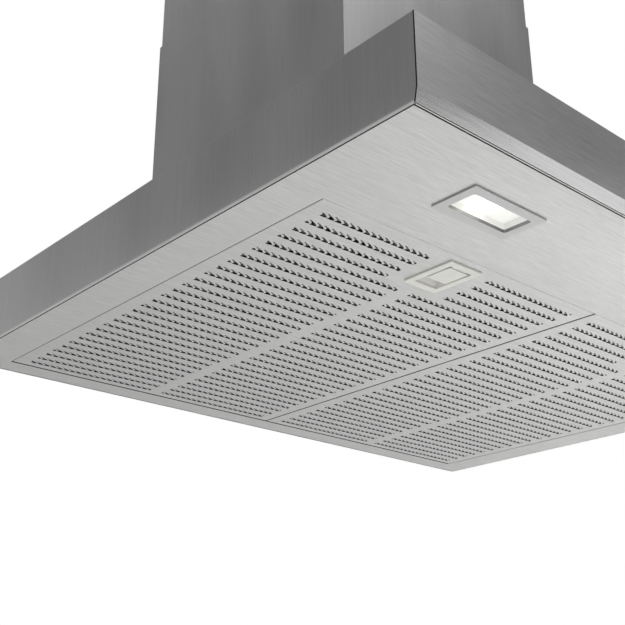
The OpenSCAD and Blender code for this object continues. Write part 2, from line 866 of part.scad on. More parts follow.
// Scroll housing with an inlet in each side and its neck upwards
module scroll_housing() {
  color("dimgray")
    difference() {
      along_x([-scroll_w / 2 - scroll_t, scroll_w / 2 + scroll_t])
        scroll_outline(scroll_t, 0);
      along_x([-scroll_w / 2, scroll_w / 2])
        scroll_outline(0, cut);
      rod_x(inlet_r, [-scroll_w, scroll_w], -wheel_y, axis_z);
    }
}

// Inlet ring with a lip that reaches into the wheel
module inlet_ring(side) {
  lip_r = wheel_r - blade_d - wheel_gap;
  color("gray")
    on_side(side)
      translate([scroll_w / 2 + scroll_t, -wheel_y, axis_z])
        rotate([0, 90, 0])
          rotate_extrude()
            polygon([[lip_r - inlet_t, -inlet_lip], [lip_r, -inlet_lip], [lip_r, 0],
              [inlet_r + inlet_flange, 0], [inlet_r + inlet_flange, inlet_t], [lip_r - inlet_t, inlet_t]]);
}

// Double-inlet blower wheel: straight blades between two end rings and a middle ring
module wheel() {
  color("lightgray")
    translate([0, -wheel_y, axis_z])
      rotate([0, 90, 0])
        for (h = [-wheel_w / 2, disc_x, wheel_w / 2 - wheel_t])
          translate([0, 0, h])
            difference() {
              cylinder(r = wheel_r, h = wheel_t);
              translate([0, 0, -cut])
                cylinder(r = wheel_r - blade_d, h = wheel_t + 2 * cut);
            }
  color("lightgray")
    translate([0, -wheel_y, axis_z])
      rotate([0, 90, 0])
        translate([0, 0, -wheel_w / 2])
          linear_extrude(wheel_w)
            for (i = [0:blade_n - 1])
              rotate(i * 360 / blade_n)
                translate([wheel_r - blade_d + fit, -blade_t / 2])
                  square([blade_d - 2 * fit, blade_t]);
}

// Plate with a hub that joins the wheel to the shaft
module wheel_plate() {
  color("gray")
    translate([0, -wheel_y, axis_z])
      rotate([0, 90, 0])
        translate([0, 0, disc_x])
          difference() {
            union() {
              cylinder(r = wheel_r - blade_d - run_fit, h = wheel_t);
              cylinder(r = hub_r, h = wheel_t + hub_l);
            }
            translate([0, 0, -cut])
              cylinder(r = shaft_r + run_fit, h = wheel_t + hub_l + 2 * cut);
          }
}

// Shaft that turns in the motor and carries the wheel
module motor_shaft() {
  color("dimgray")
    rod_x(shaft_r, [motor_end - motor_boss_l - shaft_in, disc_x + wheel_t + hub_l], -wheel_y, axis_z);
}

// Motor can, inside the wheel, with the bearing boss for the shaft
module motor() {
  color("darkslategray")
    difference() {
      union() {
        rod_x(motor_r, [motor_end - motor_l, motor_end], -wheel_y, axis_z);
        rod_x(2 * shaft_r, [motor_end, motor_end + motor_boss_l], -wheel_y, axis_z);
      }
      rod_x(shaft_r + run_fit, [motor_end - motor_boss_l - shaft_in - fit, motor_end + motor_boss_l + cut],
        -wheel_y, axis_z);
    }
}

// Three-armed bracket that carries the motor on the side of the scroll
module motor_bracket() {
  color("slategray")
    translate([motor_end - motor_l - spider_t, -wheel_y, axis_z])
      rotate([0, 90, 0]) {
        linear_extrude(spider_t) {
          circle(2 * arm_w);
          difference() {
            circle(spider_r + arm_w / 2);
            circle(spider_r - arm_w / 2);
          }
          for (a = [0:120:240])
            rotate(a)
              translate([0, -arm_w / 2])
                square([spider_r, arm_w]);
        }
        for (a = [0:120:240])
          rotate(a)
            translate([spider_r, 0, 0])
              cylinder(r = arm_w / 3, h = spider_t + spider_gap);
      }
}

// Motor capacitor on the wall of the blower box
module capacitor() {
  color("lightgray")
    translate([-box_x + sheet_t + fit + capacitor_r, -box_front + sheet_t + fit + capacitor_r,
      axis_z - capacitor_h])
      cylinder(r = capacitor_r, h = capacitor_h);
}

// Round duct collar on a square flange, with the ledge that the flaps close on and two pin bosses
module outlet_collar() {
  bore = collar_r - collar_t;
  color("darkslategray")
    translate([0, neck_y, box_top + sheet_t])
      difference() {
        union() {
          difference() {
            union() {
              linear_extrude(collar_t)
                square(2 * (collar_r + collar_flange), center = true);
              cylinder(r = collar_r, h = collar_t + collar_h);
            }
            translate([0, 0, -cut])
              cylinder(r = bore - ledge_w, h = collar_t + collar_h + 2 * cut);
            translate([0, 0, -cut])
              cylinder(r = bore, h = collar_t + flap_z - flap_t / 2 - fit - ledge_t + cut);
            translate([0, 0, collar_t + flap_z - flap_t / 2 - fit])
              cylinder(r = bore, h = collar_h);
          }
          both_sides()
            rod_x(knuckle_out, [bore - pin_boss_l, bore + fit], 0, collar_t + flap_z);
        }
        rod_x(flap_pin_r + run_fit, [-bore, bore], 0, collar_t + flap_z);
      }
}

// Pin across the collar that both flaps turn on
module flap_pin() {
  bore = collar_r - collar_t;
  color("dimgray")
    rod_x(flap_pin_r, [-bore + fit, bore - fit], neck_y, flap_axis_z);
}

// Half-round flap on one side of the pin, with its knuckles at the given x ranges
module flap(side, knuckles) {
  color("gray")
    translate([0, neck_y, flap_axis_z])
      difference() {
        union() {
          intersection() {
            translate([0, 0, -flap_t / 2])
              cylinder(r = flap_r, h = flap_t);
            mirror([0, side > 0 ? 0 : 1, 0])
              slab([-flap_r, flap_r], [knuckle_out + slack, flap_r], [-flap_t, flap_t]);
          }
          for (k = knuckles) {
            rod_x(knuckle_out, k, 0, 0);
            mirror([0, side > 0 ? 0 : 1, 0])
              slab(k, [0, knuckle_out + slack + fit], [-flap_t / 2, flap_t / 2]);
          }
        }
        rod_x(flap_pin_r + run_fit, [-collar_r, collar_r], 0, 0);
      }
}

// Lower chimney: a U-shaped sheet open to the wall, with a foot flange at the front
module chimney_lower() {
  z = [canopy_h, canopy_h + chimney_low_h];
  color("silver")
    difference() {
      slab([-chimney_w / 2, chimney_w / 2], [-chimney_d, 0], z);
      slab([-low_inner_x, low_inner_x], [-chimney_d + sheet_t + chimney_flange, -sheet_t], z + [-cut, cut]);
      slab([-low_inner_x, low_inner_x], [-chimney_d + sheet_t, -sheet_t], [canopy_h + sheet_t, z[1] + cut]);
      slab([-chimney_w / 2 + chimney_flange, chimney_w / 2 - chimney_flange], [-chimney_d / 2, cut],
        z + [-cut, cut]);
      sheet_screw_holes();
    }
}

// Upper chimney: a U-shaped sheet that slides up out of the lower one
module chimney_upper() {
  z = [canopy_h + chimney_foot, chimney_top];
  color("silver")
    difference() {
      slab([-up_x, up_x], [-up_y, -sheet_t - seam], z);
      slab([-up_x + sheet_t, up_x - sheet_t], [-up_y + sheet_t, cut], z + [-cut, cut]);
      rod_x(screw_r + run_fit, [-chimney_w, chimney_w], -bracket_d / 2, bracket_z);
    }
}

// Wall bracket at the top of the chimney, with an ear for each side
module chimney_bracket() {
  z = [bracket_z - bracket_h / 2, bracket_z + bracket_h / 2];
  color("gray")
    difference() {
      slab([-up_x + sheet_t, up_x - sheet_t], [-bracket_d, 0], z);
      slab([-up_x + sheet_t + bracket_t, up_x - sheet_t - bracket_t], [-bracket_d - cut, -bracket_t],
        z + [-cut, cut]);
      rod_x(screw_r + run_fit, [-chimney_w, chimney_w], -bracket_d / 2, bracket_z);
      both_sides()
        rod_y(bracket_hole_r, [-bracket_d, cut], bracket_spacing / 2, bracket_z);
    }
}

// Screws that hold the upper chimney to its bracket
module chimney_screws() {
  color("dimgray")
    both_sides() {
      rod_x(screw_head_r, [up_x, up_x + screw_head_h / 2], -bracket_d / 2, bracket_z);
      rod_x(screw_r, [up_x - screw_l, up_x + fit], -bracket_d / 2, bracket_z);
    }
}

// Places of the screws in the flanges of the blower box and of the lower chimney
function sheet_screw_spots() = concat(
  [for (x = [-box_x, box_x] * screw_share, y = [-box_front, -box_rear] + box_flange / 2 * [-1, 1]) [x, y]],
  [for (x = [-box_x, box_x] * screw_share) [x, -chimney_d + sheet_t + chimney_flange / 2]]);

// Holes for those screws through the flanges and the top sheet
module sheet_screw_holes() {
  for (p = sheet_screw_spots())
    translate([p[0], p[1], top_z - cut])
      cylinder(r = screw_r + run_fit, h = 2 * (sheet_t + cut));
}

// Screws that hold the blower box and the lower chimney to the canopy
module sheet_screws() {
  color("dimgray")
    for (p = sheet_screw_spots())
      translate([p[0], p[1], canopy_h + sheet_t]) {
        cylinder(r = screw_head_r, h = screw_head_h);
        translate([0, 0, -screw_l])
          cylinder(r = screw_r, h = screw_l + fit);
      }
}

// Angle plates that stiffen the rear sheet and the top round the wall holes
module hangers() {
  color("gray")
    both_sides()
      translate([hang_x, -sheet_t, 0])
        difference() {
          union() {
            slab([-hanger_w / 2, hanger_w / 2], [-hanger_t, 0], [flange_h + hanger_t, top_z]);
            slab([-hanger_w / 2, hanger_w / 2], [-hanger_d, 0], [top_z - hanger_t, top_z]);
          }
          rod_y(hang_r, [-hanger_t - cut, cut], 0, hang_z);
          translate([level_x, -hanger_d * level_share, top_z - hanger_t - cut])
            cylinder(r = level_r + run_fit, h = hanger_t + 2 * cut);
        }
}

// Screws under the angle plates that level the hood on its wall hooks
module hanger_screws() {
  color("dimgray")
    both_sides()
      translate([hang_x + level_x, -sheet_t - hanger_d * level_share, top_z - fit - level_l]) {
        cylinder(r = level_r, h = level_l);
        translate([0, 0, -level_r])
          cylinder(r = level_head_r, h = level_r + fit);
      }
}

// Terminal box under the top sheet, where the supply cord is joined
module terminal_box() {
  color("darkslategray")
    translate([gland_x, -gland_in, top_z - terminal_h])
      difference() {
        slab([-gland_out - cap_wall, terminal_w - gland_out], [-terminal_r, terminal_r], [0, terminal_h]);
        slab([-gland_out, terminal_w - gland_out - cap_wall],
          [-terminal_r + cap_wall, terminal_r - cap_wall], [cap_wall, terminal_h - cap_wall]);
        translate([0, 0, terminal_h / 2])
          cylinder(r = gland_r + gland_wall + fit, h = terminal_h);
      }
}

// Cord gland through the top sheet, inside the chimney
module cable_gland() {
  color("black")
    translate([gland_x, -gland_in, top_z - gland_tail])
      difference() {
        union() {
          cylinder(r = gland_r + gland_wall, h = gland_tail + sheet_t + gland_h);
          translate([0, 0, gland_tail + sheet_t])
            cylinder(r = gland_r + gland_wall + gland_flange, h = gland_wall);
        }
        translate([0, 0, -cut])
          cylinder(r = gland_r, h = gland_tail + sheet_t + gland_h + 2 * cut);
      }
}

canopy_top();
canopy_side(-1);  // canopy_side_l
canopy_side(1);  // canopy_side_r
front_panel();
underside_frame();
rear_panel();
filter_face(-1);  // filter_face_l
filter_face(1);  // filter_face_r
filter_mesh(-1);  // filter_mesh_l
filter_mesh(1);  // filter_mesh_r
filter_back(-1);  // filter_back_l
filter_back(1);  // filter_back_r
latch_frame(-1);  // latch_frame_l
latch_frame(1);  // latch_frame_r
latch_paddle(-1);  // latch_paddle_l
latch_paddle(1);  // latch_paddle_r
latch_pin(-1);  // latch_pin_l
latch_pin(1);  // latch_pin_r
latch_spring(-1);  // latch_spring_l
latch_spring(1);  // latch_spring_r
latch_keepers();
lamp_bezel(-1);  // lamp_bezel_l
lamp_bezel(1);  // lamp_bezel_r
lamp_lens(-1);  // lamp_lens_l
lamp_lens(1);  // lamp_lens_r
lamp_led(-1);  // lamp_led_l
lamp_led(1);  // lamp_led_r
lamp_cap(-1);  // lamp_cap_l
lamp_cap(1);  // lamp_cap_r
control_box();
control_board();
button(1);  // button_1
button(2);  // button_2
button(3);  // button_3
button(4);  // button_4
button(5);  // button_5
blower_box();
scroll_housing();
inlet_ring(-1);  // inlet_ring_l
inlet_ring(1);  // inlet_ring_r
wheel();
wheel_plate();
motor_shaft();
motor();
motor_bracket();
capacitor();
outlet_collar();
flap_pin();
flap(-1, front_knuckles);  // flap_front
flap(1, rear_knuckles);  // flap_rear
chimney_lower();
chimney_upper();
chimney_bracket();
chimney_screws();
sheet_screws();
hangers();
hanger_screws();
terminal_box();
cable_gland();
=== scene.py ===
import math

import bmesh
import bpy
from mathutils import Matrix, Vector, geometry


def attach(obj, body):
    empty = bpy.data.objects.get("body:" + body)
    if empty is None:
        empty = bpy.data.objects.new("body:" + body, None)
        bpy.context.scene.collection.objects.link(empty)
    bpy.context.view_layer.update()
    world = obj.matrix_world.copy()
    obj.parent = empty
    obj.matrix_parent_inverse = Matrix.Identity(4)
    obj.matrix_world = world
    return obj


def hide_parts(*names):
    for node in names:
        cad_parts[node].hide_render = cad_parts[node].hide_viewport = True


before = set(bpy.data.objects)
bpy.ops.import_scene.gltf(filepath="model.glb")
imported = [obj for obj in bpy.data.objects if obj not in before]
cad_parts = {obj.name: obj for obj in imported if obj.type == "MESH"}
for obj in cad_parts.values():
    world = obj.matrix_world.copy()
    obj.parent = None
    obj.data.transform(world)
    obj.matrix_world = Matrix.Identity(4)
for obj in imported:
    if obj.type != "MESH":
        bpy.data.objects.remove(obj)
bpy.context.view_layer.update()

# Camera: low in front of the hood's left corner, turned right and tilted up at the underside,
# on a moderately long lens. It stands where the straight edges in the photograph put it.
eye = Vector((-0.62271, -0.78257, -0.27879))
turn, tilt, roll = 0.73304, 0.37977, -0.00396
ahead = Vector((math.sin(turn) * math.cos(tilt), math.cos(turn) * math.cos(tilt), math.sin(tilt)))
level = Vector((math.cos(turn), -math.sin(turn), 0))
right = level * math.cos(roll) + level.cross(ahead) * math.sin(roll)
camera = bpy.data.objects.new("camera", bpy.data.cameras.new("camera"))
camera.data.sensor_width = 36
camera.data.lens = 60.39
axes = Matrix((right, right.cross(ahead), -ahead)).transposed()
camera.matrix_world = Matrix.Translation(eye) @ axes.to_4x4()
bpy.context.scene.collection.objects.link(camera)
bpy.context.scene.camera = camera
bpy.context.scene.view_settings.view_transform = "Standard"


# Studio: a pale floor of painted board under the hood, a white surround, one large soft lamp
# above the front and a lower one that lights the floor to the right, where the underside looks.
def linear(hex_colour):
    """Turns an sRGB hex colour to the linear values that Blender's sockets take."""
    parts = [int(hex_colour[i:i + 2], 16) / 255 for i in (1, 3, 5)]
    return [c / 12.92 if c <= 0.04045 else ((c + 0.055) / 1.055) ** 2.4 for c in parts] + [1]


def add(tree, kind, sockets=None, **settings):
    """Adds a node with its settings, and fills its sockets with values or links."""
    made = tree.nodes.new(kind)
    for name, value in settings.items():
        setattr(made, name, value)
    for socket, value in (sockets or {}).items():
        if isinstance(value, bpy.types.NodeSocket):
            tree.links.new(value, made.inputs[socket])
        else:
            made.inputs[socket].default_value = value
    return made


def new_material(name):
    """Returns a material with its node tree and its shader."""
    made = bpy.data.materials.new(name)
    made.use_nodes = True
    return made, made.node_tree, made.node_tree.nodes["Principled BSDF"]


mm = 0.001  # Blender works in metres


def new_piece(name, corners, faces, material):
    """Makes a mesh object from corners in millimetres."""
    mesh = bpy.data.meshes.new(name)
    mesh.from_pydata([[c * mm for c in corner] for corner in corners], [], faces)
    mesh.materials.append(material)
    made = bpy.data.objects.new(name, mesh)
    bpy.context.scene.collection.objects.link(made)
    return made


# The floor's emulsion paint is rolled on: matt, with a faint stipple 1.1 mm wide.
floor_z, floor_half = -950, 9000
floor_paint, tree, shader = new_material("painted_floor_board")
place = add(tree, "ShaderNodeTexCoord")
stipple = add(tree, "ShaderNodeTexNoise", {"Vector": place.outputs["Object"],
                                           "Scale": 0.9 / mm, "Detail": 3})
tint = add(tree, "ShaderNodeMix", {"Factor": stipple.outputs["Fac"], "A": linear("#E6E6E4"),
                                   "B": linear("#ECECEA")}, data_type="RGBA")
tree.links.new(tint.outputs["Result"], shader.inputs["Base Color"])
shader.inputs["Roughness"].default_value = 0.7
floor_corners = [(x * floor_half, y * floor_half, floor_z)
                 for x, y in ((-1, -1), (1, -1), (1, 1), (-1, 1))]
floor = new_piece("floor", floor_corners, [(0, 1, 2, 3)], floor_paint)

# The surround is white where it is seen, mirrored or looked at through glass, and gives the
# hood about half of that as light.
surround = bpy.data.worlds.new("white_surround")
surround.use_nodes = True
tree = surround.node_tree
ray = add(tree, "ShaderNodeLightPath")
seen = add(tree, "ShaderNodeMath", {0: ray.outputs["Is Camera Ray"],
                                    1: ray.outputs["Is Glossy Ray"]}, operation="MAXIMUM")
seen = add(tree, "ShaderNodeMath", {0: seen.outputs[0], 1: ray.outputs["Is Transmission Ray"]},
           operation="MAXIMUM")
strength = add(tree, "ShaderNodeMapRange", {"Value": seen.outputs[0], "To Min": 0.52,
                                            "To Max": 1.0})
tree.links.new(strength.outputs["Result"], tree.nodes["Background"].inputs["Strength"])
tree.nodes["Background"].inputs["Color"].default_value = linear("#FFFFFF")
bpy.context.scene.world = surround

for name, spot, aim, size, watts in (
        ("soft_lamp_over_front", (-1.3, -2.6, 2.2), (0, -0.25, 0.2), 2.4, 45),
        ("soft_lamp_on_floor", (2.2, 0.3, 1.0), (2.2, 0.3, -0.95), 1.4, 44)):
    lamp = bpy.data.objects.new(name, bpy.data.lights.new(name, "AREA"))
    lamp.data.size, lamp.data.energy = size, watts
    lamp.location = spot
    lamp.rotation_euler = (Vector(aim) - Vector(spot)).to_track_quat("-Z", "Y").to_euler()
    bpy.context.scene.collection.objects.link(lamp)

# Grey flags: three glowing cards hung left of the hood, behind it and right of it, out of the
# picture and seen only in reflections, so that the steel has something dark to mirror. Their glow
# is painted paler towards the floor.
flag_glow, tree, shader = new_material("grey_flag_glow_painted")
tree.nodes.remove(shader)
place = add(tree, "ShaderNodeTexCoord")
height = add(tree, "ShaderNodeSeparateXYZ", {0: place.outputs["Object"]})
lean = add(tree, "ShaderNodeMath", {0: height.outputs["Y"], 1: -0.3, 2: height.outputs["Z"]},
           operation="MULTIPLY_ADD")
painted_height_fade = add(tree, "ShaderNodeMapRange", {"Value": lean.outputs[0], "From Min": -0.6,
                                        "From Max": 2.2}, interpolation_type="SMOOTHSTEP")
tint = add(tree, "ShaderNodeMix", {"Factor": painted_height_fade.outputs[0], "A": linear("#B4B4B4"),
                                   "B": linear("#6E6E6E")}, data_type="RGBA")
glow = add(tree, "ShaderNodeEmission", {"Color": tint.outputs["Result"]})
tree.links.new(glow.outputs[0], tree.nodes["Material Output"].inputs["Surface"])
for name, (x0, y0), (x1, y1), low, high in (
        ("flag_left", (-3200, -2500), (-3200, 9500), 250, 6500),
        ("flag_rear", (-500, 3100), (3400, 1500), floor_z, 600),
        ("flag_right", (4200, -6500), (4200, 300), 1840, 5200)):
    flag = new_piece(name, [(x0, y0, low), (x1, y1, low), (x1, y1, high), (x0, y0, high)],
                     [(0, 1, 2, 3)], flag_glow)
    flag.visible_camera = flag.visible_diffuse = False
    flag.visible_shadow = flag.visible_transmission = False


# Canopy: a shallow box of 1 mm stainless steel sheet, folded and spot welded, its outside
# brushed with a belt along the long side. The sides and the chimney are brushed upright.
def brushed_steel(name, lengthwise, pale, deep, line_length, smoothest=0.3):
    """Stainless steel, belt brushed: broken lines along one axis blur what it mirrors. The real
    lines are 0.1 mm wide, too fine to show, so they are drawn 0.5 mm wide, with streaks of
    1.4 mm and broad clouds over them. A finer belt leaves shallower lines."""
    made, tree, shader = new_material(name)
    place = add(tree, "ShaderNodeTexCoord")
    line, streak, cloud = [add(tree, "ShaderNodeMapping", {
        "Vector": place.outputs["Object"],
        "Scale": [1 / (mm * (length if axis == lengthwise else width)) for axis in range(3)]})
        for length, width in ((line_length, 0.5), (3 * line_length, 1.4), (220, 60))]
    line = add(tree, "ShaderNodeTexNoise", {"Vector": line.outputs[0], "Scale": 1, "Detail": 2,
                                            "Roughness": 0.7})
    streak = add(tree, "ShaderNodeTexNoise", {"Vector": streak.outputs[0], "Scale": 1, "Detail": 3})
    cloud = add(tree, "ShaderNodeTexNoise", {"Vector": cloud.outputs[0], "Scale": 1, "Detail": 1})
    both = add(tree, "ShaderNodeMix", {"Factor": 0.4, "A": line.outputs["Fac"],
                                       "B": streak.outputs["Fac"]})
    shade = add(tree, "ShaderNodeMapRange", {"Value": both.outputs[0], "From Min": 0.36,
                                             "From Max": 0.64})
    tint = add(tree, "ShaderNodeMix", {"Factor": shade.outputs[0], "A": linear(deep),
                                       "B": linear(pale)}, data_type="RGBA")
    rough = add(tree, "ShaderNodeMapRange", {
        "Value": cloud.outputs["Fac"], "From Min": 0.3, "From Max": 0.7,
        "To Min": smoothest, "To Max": smoothest + 0.06})
    bump = add(tree, "ShaderNodeBump", {"Height": both.outputs[0], "Strength": 4 * smoothest ** 2,
                                        "Distance": 0.12 * mm})
    tree.links.new(tint.outputs["Result"], shader.inputs["Base Color"])
    tree.links.new(rough.outputs[0], shader.inputs["Roughness"])
    tree.links.new(bump.outputs[0], shader.inputs["Normal"])
    shader.inputs["Metallic"].default_value = 1
    return made


def finish_nodes(material, *names):
    """Gives carried-over CAD nodes their real finish."""
    for name in names:
        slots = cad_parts[name].data.materials
        for i in range(len(slots)):
            slots[i] = material
        if not len(slots):
            slots.append(material)


steel_across = brushed_steel("stainless_steel_brushed_across", 0, "#D7D7D7", "#C1C1C1", 15)
steel_upright = brushed_steel("stainless_steel_brushed_upright", 2, "#CCCCCC", "#C2C2C2", 40)
finish_nodes(steel_across, "canopy_top")

# The sides are folded up from a sheet that the press leaves faintly bowed: over the last
# centimetre they lean inwards, and a small round edge meets the underside at a fine gap.
side_x, side_front, side_top, foot_y, bevel_top = 300.0, -499.0, 51.4, -497.2, 8.8
side_profile = [(0, side_top), (0, 16), (0.03, 12), (0.09, 9), (0.17, 6.5), (0.26, 4),
                (0.34, 2.5), (0.42, 1.6), (0.66, 0.95), (0.86, 0.45), (0.96, 0.2), (1, 0),
                (1, side_top)]
for side, tail in ((-1, "l"), (1, "r")):
    corners, faces = [], []
    for inset, z in side_profile:
        front = foot_y + (side_front - foot_y) * min(z / bevel_top, 1)
        corners += [(side * (side_x - inset), front, z), (side * (side_x - inset), 0, z)]
    count = len(side_profile)
    for i in range(count):
        a, b = 2 * i, 2 * ((i + 1) % count)
        faces.append((a, a + 1, b + 1, b)[::side])
    corners += corners
    faces.append(tuple(range(2 * count, 4 * count, 2))[::side])
    faces.append(tuple(range(2 * count + 1, 4 * count, 2))[::-side])
    piece = new_piece("canopy_side_sheet_" + tail, corners, faces, steel_upright)
    for polygon in piece.data.polygons[1:count - 3]:
        polygon.use_smooth = True
    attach(piece, "hood")
    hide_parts("canopy_side_" + tail)

# The front sheet's foot and the underside sheet: blanked, folded, then brushed flat. The fold
# line, the seams and the cut edges get painted shade: near-black steel for the shade in these
# narrow gaps. It is rough, with the torn grain of 0.25 mm that the shears leave.
gap_shade_steel, tree, shader = new_material("stainless_steel_gaps_painted_shade")
place = add(tree, "ShaderNodeTexCoord")
tear = add(tree, "ShaderNodeTexNoise", {"Vector": place.outputs["Object"],
                                        "Scale": 1 / (0.25 * mm), "Detail": 2})
tint = add(tree, "ShaderNodeMix", {"Factor": tear.outputs["Fac"], "A": linear("#2A2A2A"),
                                   "B": linear("#3C3C3C")}, data_type="RGBA")
tree.links.new(tint.outputs["Result"], shader.inputs["Base Color"])
shader.inputs["Metallic"].default_value = 1
shader.inputs["Roughness"].default_value = 0.6

# The bevel at the foot is ground with a finer belt, and mirrors the room more sharply.
ground_bevel = brushed_steel("stainless_steel_bevel_ground_bright", 0, "#D6D6D6", "#CACACA", 20,
                             0.14)
bend_r, lip_r, level_within = 0.6, 0.15, 0.02
side_edge, lip_y, seam_y = 298.65, (-497.45, -495.95), (-496.1, -495.9)
fold_y, fold_z, cut_edge_top = (-497.95, -497.35), (0.05, 0.6), 1.05
flat_within = math.radians(2)
for node, name, radius in (("front_panel", "front_sheet", lip_r),
                           ("underside_frame", "underside_sheet", bend_r)):
    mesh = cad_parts[node].data.copy()
    mesh.name = name
    mesh.materials.clear()
    for material in (steel_across, gap_shade_steel, ground_bevel):
        mesh.materials.append(material)
    work = bmesh.new()
    work.from_mesh(mesh)
    bmesh.ops.remove_doubles(work, verts=work.verts, dist=1e-6)
    bmesh.ops.dissolve_limit(work, angle_limit=flat_within, verts=work.verts, edges=work.edges)
    bends = []
    for edge in work.edges:
        (x0, y0, z0), (x1, y1, z1) = [v.co / mm for v in edge.verts]
        along_side = node == "underside_frame" and min(abs(x0), abs(x1)) > side_edge
        along_seam = lip_y[0] < min(y0, y1) and max(y0, y1) < lip_y[1]
        if max(abs(z0), abs(z1)) < level_within and (along_side or along_seam):
            bends.append(edge)
    bent = bmesh.ops.bevel(work, geom=bends, offset=radius * mm, segments=2, profile=0.5,
                           affect="EDGES")["faces"]
    for face in work.faces:
        # A cut edge or a seam looks sideways. The bevel looks to the front and a little down.
        x, y, z = face.calc_center_median() / mm
        top = max(v.co.z for v in face.verts) / mm
        in_fold = fold_y[0] < y < fold_y[1] and fold_z[0] < z < fold_z[1]
        in_seam = abs(face.normal.z) < 0.5 and (
            top < cut_edge_top or abs(x) > side_edge or seam_y[0] < y < seam_y[1])
        on_bevel = face.normal.y < -0.9 and 0.1 < -face.normal.z < 0.5
        # Faces in the fold, the seams and the bent edges get the painted shade.
        painted_shade = in_fold or in_seam or face in bent
        face.material_index = 2 if on_bevel else 1 if painted_shade else 0
    work.to_mesh(mesh)
    work.free()
    piece = bpy.data.objects.new(name, mesh)
    bpy.context.scene.collection.objects.link(piece)
    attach(piece, "hood")
    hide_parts(node)

# Rear sheet, angle plates and latch keepers: pressed from hot dipped galvanised sheet and spot
# welded on. The zinc froze in flat crystals about 9 mm across, each with a grey of its own.
zinc_sheet, tree, shader = new_material("galvanised_steel_sheet")
place = add(tree, "ShaderNodeTexCoord")
spangle = add(tree, "ShaderNodeTexVoronoi", {"Vector": place.outputs["Object"],
                                             "Scale": 1 / (9 * mm)})
tone = add(tree, "ShaderNodeSeparateColor", {0: spangle.outputs["Color"]})
tint = add(tree, "ShaderNodeMix", {"Factor": tone.outputs[0], "A": linear("#A4A8AB"),
                                   "B": linear("#BFC2C4")}, data_type="RGBA")
rough = add(tree, "ShaderNodeMapRange", {"Value": tone.outputs[1], "To Min": 0.36, "To Max": 0.5})
tree.links.new(tint.outputs["Result"], shader.inputs["Base Color"])
tree.links.new(rough.outputs[0], shader.inputs["Roughness"])
shader.inputs["Metallic"].default_value = 1
finish_nodes(zinc_sheet, "rear_panel", "hangers", "latch_keepers")

# Filters: trays of 0.8 mm stainless sheet. Rows of slanted slots are punched through the
# face, one column of rows each side of a plain band. Two hooks are spot welded on at the rear.
filter_w, filter_x, filter_front, filter_rear = 265.35, 133.425, -395.9, -23.4
filter_t, filter_h, fold_r, fold_steps = 0.8, 9.0, 0.7, 3
row_spacing, first_row, rows, short_rows = 12.44, -382.17, 29, 4
row_end, band_half, latch_half = filter_w / 2 - 11, 6.0, 28.5
slot_spacing, thinnest = 5.919, 0.9
slot_shape = [(-2.9, -2.25), (-2, -2.35), (-0.8, -1.85), (0.3, -1.55), (1.7, -0.75), (3.4, -0.1),
              (4.3, 0.75), (5, 1.2), (5.5, 1.85), (5.35, 2.05), (3.4, 2.5), (0.4, 2.5), (0, 1.95),
              (0.8, 1.3), (0.3, 0.2), (-0.7, -0.9), (-1.8, -1.4), (-2.9, -1.85)]
latch_cutout = [(-13.05, -384.0), (13.05, -384.0), (13.05, -349.9), (-13.05, -349.9)]
hook_x, hook_half = 90, 10
hook_outline = [(-0.8, 1.3), (9.4, 1.3), (10.4, 1.7), (10.4, 2.5), (-0.8, 2.5)]


def slot_outline(x, y, low, high):
    """One punched slot, slanted and narrowing to the front, cut off where its row ends."""
    outline = [(x + px, y + py) for px, py in slot_shape]
    for wall, inward in ((low, 1), (high, -1)):
        kept = []
        for (ax, ay), (bx, by) in zip(outline, outline[1:] + outline[:1]):
            if inward * (ax - wall) >= 0:
                kept.append((ax, ay))
            if (ax - wall) * (bx - wall) < 0:
                kept.append((wall, ay + (by - ay) * (wall - ax) / (bx - ax)))
        outline = kept
    return outline


def filter_slots(side):
    """All slots of one filter as outlines about the filter's middle. Every second row is set
    off by half a slot, and the first rows make room for the latch."""
    slots = []
    for row in range(rows):
        y = first_row + row * row_spacing
        start = latch_half if row < short_rows else band_half
        for low, high in ((-row_end, -start), (start, row_end)):
            offset = -side * filter_x + (slot_spacing / 2 if row % 2 else 0)
            first = math.floor((low - offset) / slot_spacing) - 1
            for step in range(first, first + math.ceil((high - low) / slot_spacing) + 4):
                outline = slot_outline(offset + step * slot_spacing, y, low, high)
                if outline and max(p[0] for p in outline) - min(p[0] for p in outline) > thinnest:
                    slots.append(outline)
    return slots


def pierced_sheet(outline, holes, z):
    """Triangulates a flat sheet with holes. Returns its corners, triangles and the loops."""
    loops = [outline] + holes
    flat = [Vector(c) for loop in loops for c in loop]
    rings, at = [], 0
    for loop in loops:
        rings.append(list(range(at, at + len(loop))))
        at += len(loop)
    out = geometry.delaunay_2d_cdt(flat, [], rings, 2, 1e-6)
    assert len(out[0]) == len(flat), "the sheet's outlines touch"
    return [(v.x, v.y, z) for v in out[0]], [list(f) for f in out[2]], rings


